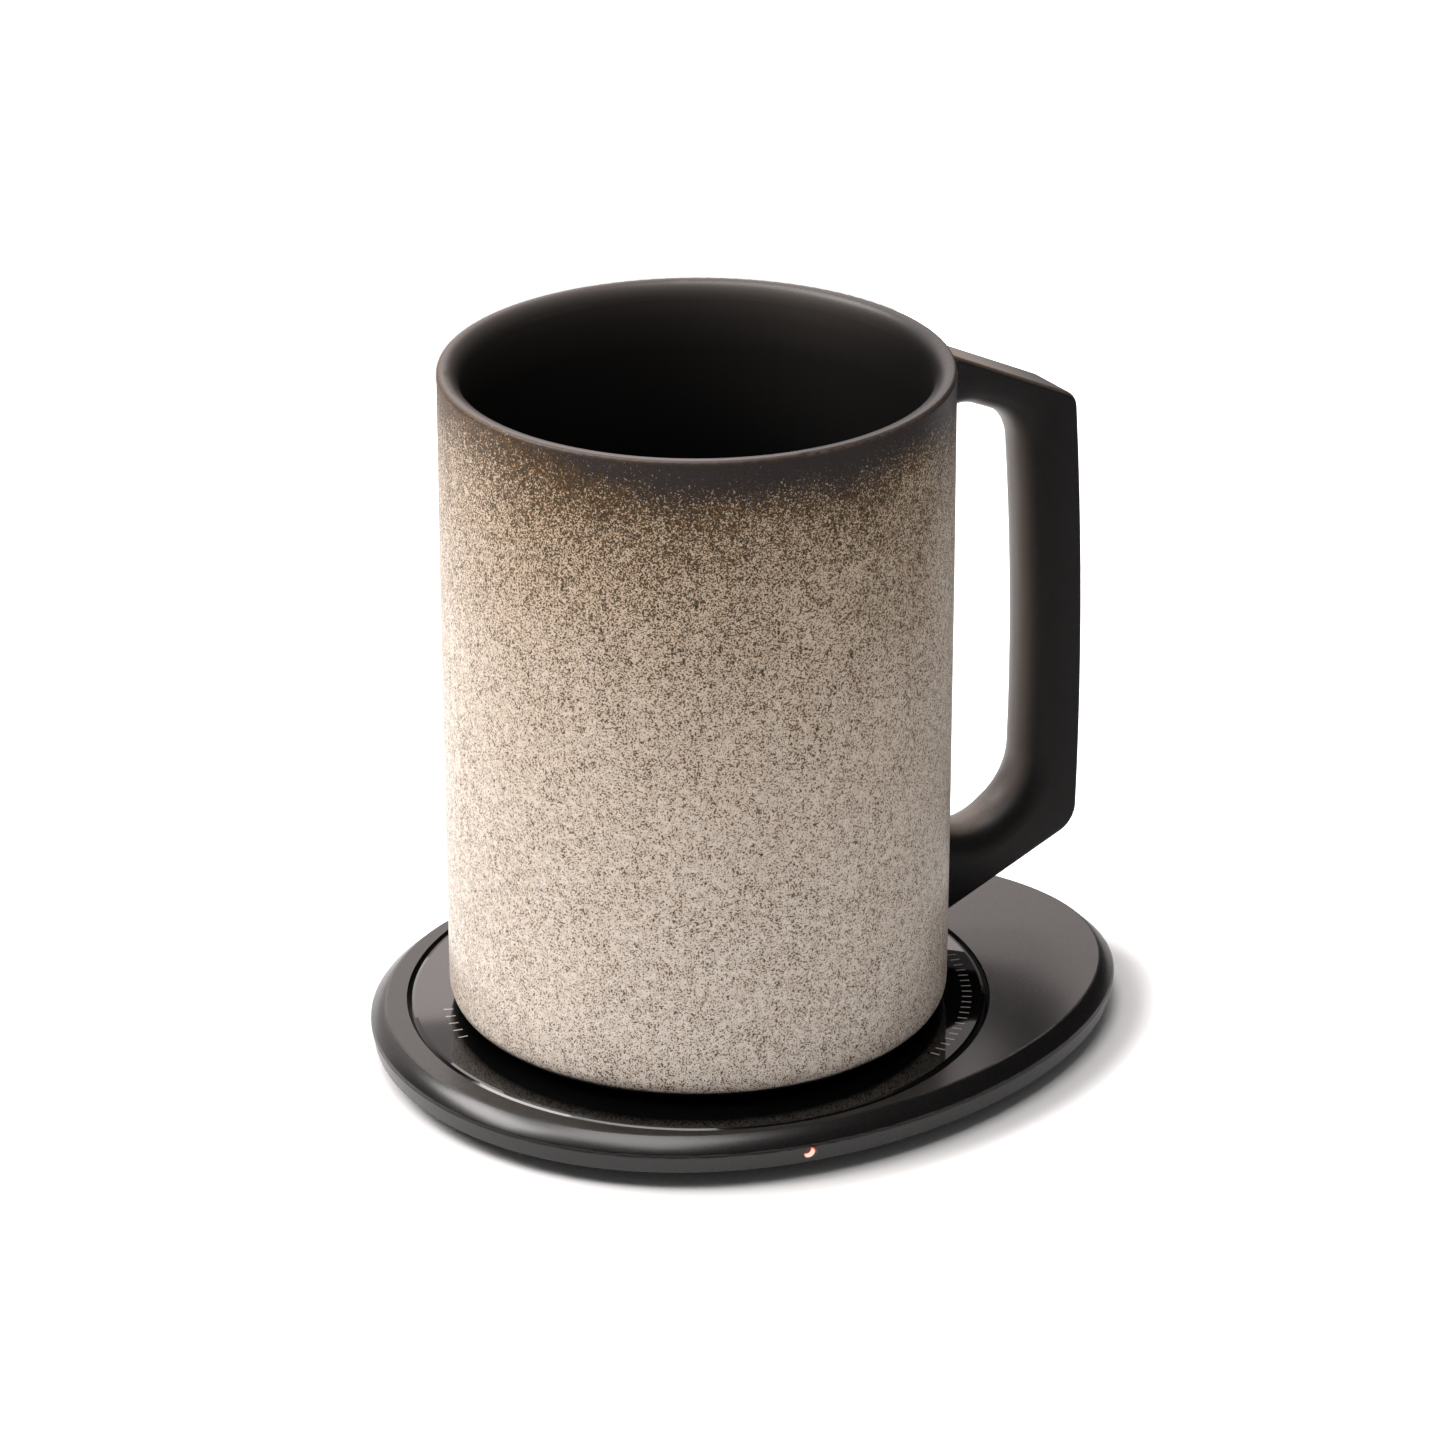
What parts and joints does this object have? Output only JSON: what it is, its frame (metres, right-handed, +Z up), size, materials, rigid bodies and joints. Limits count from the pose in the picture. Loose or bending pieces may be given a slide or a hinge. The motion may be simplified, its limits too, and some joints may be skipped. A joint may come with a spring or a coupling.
{
  "type": "self heating mug",
  "caption": "Speckled stoneware mug with a black D-shaped handle and a heater in its base, standing on the glass plate of a thin egg-shaped wireless heating coaster.",
  "frame": {"origin": "on the underside of the foot pad, on the axis that the mug and the glass plate share", "axes": "+Z up along the mug's axis, +X along the coaster's long axis towards its far end, above which the mug's handle points"},
  "size_m": [0.1269, 0.1032, 0.1189],
  "materials": {
    "speckled_glaze": "satin glaze with fine brown speckles",
    "handle_glaze": "satin black-brown glaze",
    "coaster_paint": "fine metallic satin paint",
    "cover_plastic": "fine texture",
    "black_glass": "polished, printed black underneath",
    "silicone": "matte",
    "adhesive": "soft",
    "screw_steel": "zinc plated",
    "copper_coil": "enamelled copper wire",
    "ferrite": "sintered dark grey",
    "shield_aluminium": "plain sheet",
    "board_green": "solder mask",
    "chip_black": "moulded epoxy",
    "capacitor_tan": "fired ceramic",
    "can_aluminium": "drawn can",
    "lead_red": "sleeved wire",
    "sensor_bead": "epoxy bead",
    "heater_foil": "amber film over an etched track",
    "insulation_felt": "pressed ceramic fibre",
    "socket_steel": "drawn shell",
    "socket_black": "moulded",
    "light_emitter": "emissive orange-red",
    "cable_film": "flat flexible film"
  },
  "bodies": {
    "coaster": {"upper_housing": "coaster_paint", "glass_plate": "black_glass", "glass_adhesive": "adhesive", "lower_cover": "cover_plastic", "foot_pad": "silicone", "cover_screws": "screw_steel", "transmitter_coil": "copper_coil", "transmitter_ferrite": "ferrite", "shield_plate": "shield_aluminium", "coil_thermistor": "sensor_bead", "transmitter_leads": "lead_red", "main_board": "board_green", "board_screws": "screw_steel", "control_chips": "chip_black", "power_transistors": "chip_black", "board_capacitors": "capacitor_tan", "bulk_capacitors": "can_aluminium", "power_inductor": "chip_black", "clock_crystal": "can_aluminium", "usb_shell": "socket_steel", "usb_tongue": "socket_black", "light_board": "board_green", "light_chip": "light_emitter", "light_lens": "light_emitter", "light_cable": "cable_film"},
    "mug": {"mug_body": "speckled_glaze", "mug_handle": "handle_glaze", "base_cap": "cover_plastic", "base_seal": "silicone", "foot_ring": "silicone", "thermal_pad": "adhesive", "heater_film": "heater_foil", "insulation_disc": "insulation_felt", "floor_thermistor": "sensor_bead", "heater_leads": "lead_red", "receiver_coil": "copper_coil", "receiver_ferrite": "ferrite", "receiver_coil_leads": "lead_red", "receiver_board": "board_green", "receiver_board_screws": "screw_steel", "receiver_chips": "chip_black", "receiver_capacitors": "capacitor_tan"}
  },
  "joints": [
    {"name": "mug_lift", "type": "slide", "parent": "coaster", "child": "mug", "axis": [0, 0, 1], "range_m": [0, 0.12]}
  ]
}
